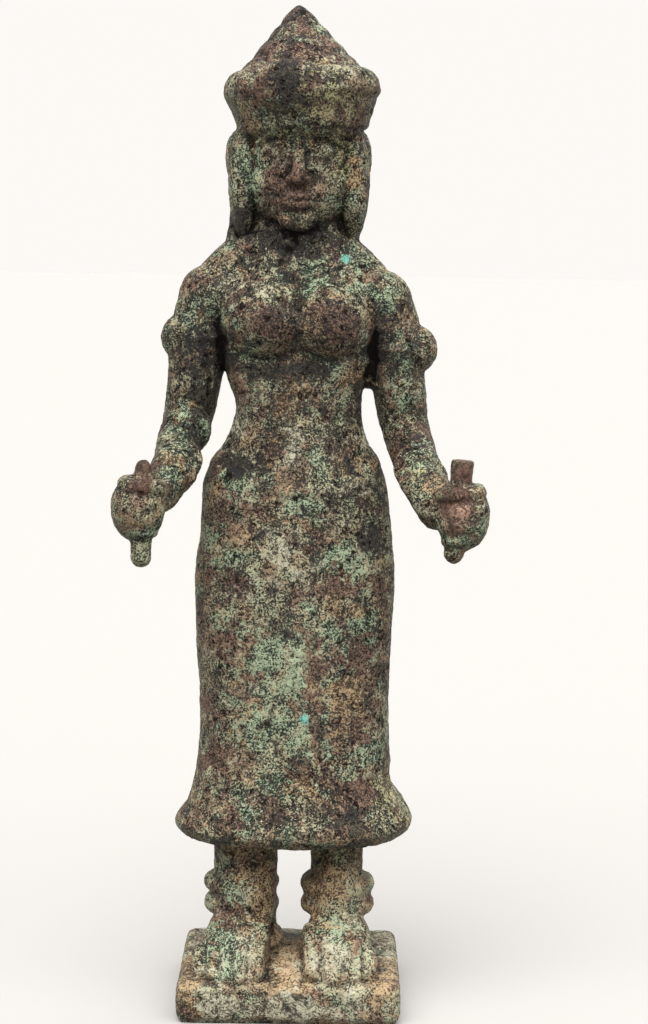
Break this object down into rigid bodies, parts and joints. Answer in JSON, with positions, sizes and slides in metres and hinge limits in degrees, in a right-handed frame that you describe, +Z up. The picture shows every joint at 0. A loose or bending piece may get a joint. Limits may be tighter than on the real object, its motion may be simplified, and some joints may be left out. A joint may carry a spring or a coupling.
{
  "type": "bronze standing goddess figure",
  "caption": "Crowned goddess standing on a low plinth, cast in bronze, in a long flared skirt, with a broken stem in each fist.",
  "frame": {"origin": "on the flat underside of the plinth, midway between the ankles", "axes": "+Z up, the figure faces -Y, +X to the right of someone who looks at her from the front"},
  "size_m": [0.0651, 0.0419, 0.1794],
  "materials": {
    "bronze": "old bronze patina, dark brown speckled with pale grey-green, malachite green and reddish cuprite"
  },
  "bodies": {
    "root": {"uma_figure": "bronze"}
  },
  "joints": []
}
